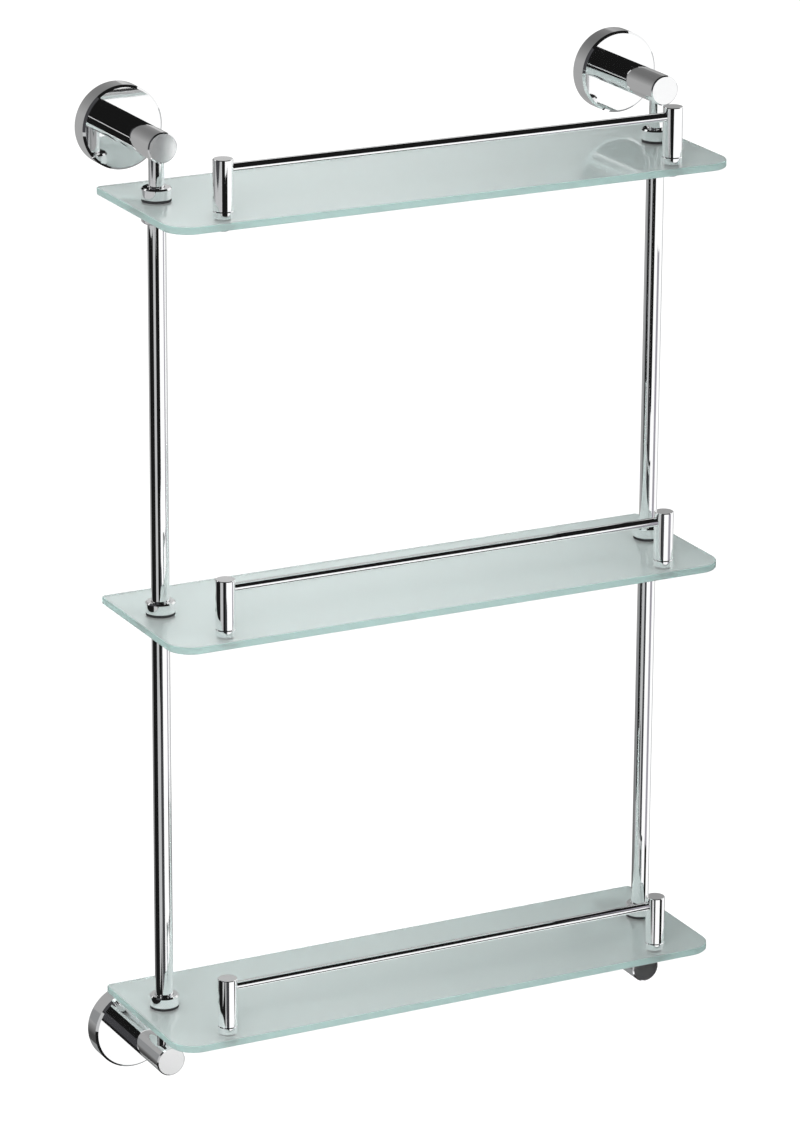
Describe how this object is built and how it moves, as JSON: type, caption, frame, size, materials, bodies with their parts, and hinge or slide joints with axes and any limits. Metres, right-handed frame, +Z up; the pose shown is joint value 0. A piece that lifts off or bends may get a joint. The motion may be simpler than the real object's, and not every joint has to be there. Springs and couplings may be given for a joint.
{
  "type": "glass wall shelf",
  "caption": "Wall shelf with satin glass shelves on chromed uprights, held by round wall brackets, with a low gallery rail along the front edge of each shelf.",
  "frame": {"origin": "on the wall, in the middle of the four brackets, level with the middle shelf's top face", "axes": "+X to the right along the wall as seen from the room, +Y into the wall, +Z up"},
  "size_m": [0.415, 0.134, 0.675],
  "materials": {
    "chrome": "polished",
    "satin_glass": "satin",
    "washer_rubber": "matte",
    "clear_plastic": "translucent",
    "plain_steel": "zinc plated"
  },
  "bodies": {
    "root": {"arm_lower_left": "chrome", "arm_lower_right": "chrome", "arm_screws": "plain_steel", "arm_upper_left": "chrome", "arm_upper_right": "chrome", "collar_above_bottom_left": "chrome", "collar_above_bottom_right": "chrome", "collar_above_middle_left": "chrome", "collar_above_middle_right": "chrome", "collar_above_top_left": "chrome", "collar_above_top_right": "chrome", "collar_below_bottom_left": "chrome", "collar_below_bottom_right": "chrome", "collar_below_middle_left": "chrome", "collar_below_middle_right": "chrome", "collar_below_top_left": "chrome", "collar_below_top_right": "chrome", "collar_washers": "washer_rubber", "gallery_post_bottom_left": "chrome", "gallery_post_bottom_right": "chrome", "gallery_post_middle_left": "chrome", "gallery_post_middle_right": "chrome", "gallery_post_top_left": "chrome", "gallery_post_top_right": "chrome", "gallery_rail_bottom": "chrome", "gallery_rail_middle": "chrome", "gallery_rail_top": "chrome", "glass_shelf_bottom": "satin_glass", "glass_shelf_middle": "satin_glass", "glass_shelf_top": "satin_glass", "hole_sleeves": "clear_plastic", "lower_rod_left": "chrome", "lower_rod_right": "chrome", "lower_stem_left": "chrome", "lower_stem_right": "chrome", "post_foot_rings": "chrome", "post_screw_washers": "clear_plastic", "post_screws": "plain_steel", "rod_studs": "plain_steel", "rosette_grub_screws": "plain_steel", "rosette_lower_left": "chrome", "rosette_lower_right": "chrome", "rosette_upper_left": "chrome", "rosette_upper_right": "chrome", "stem_studs": "plain_steel", "upper_rod_left": "chrome", "upper_rod_right": "chrome", "upper_stem_left": "chrome", "upper_stem_right": "chrome", "wall_plate_lower_left": "plain_steel", "wall_plate_lower_right": "plain_steel", "wall_plate_upper_left": "plain_steel", "wall_plate_upper_right": "plain_steel"}
  },
  "joints": []
}
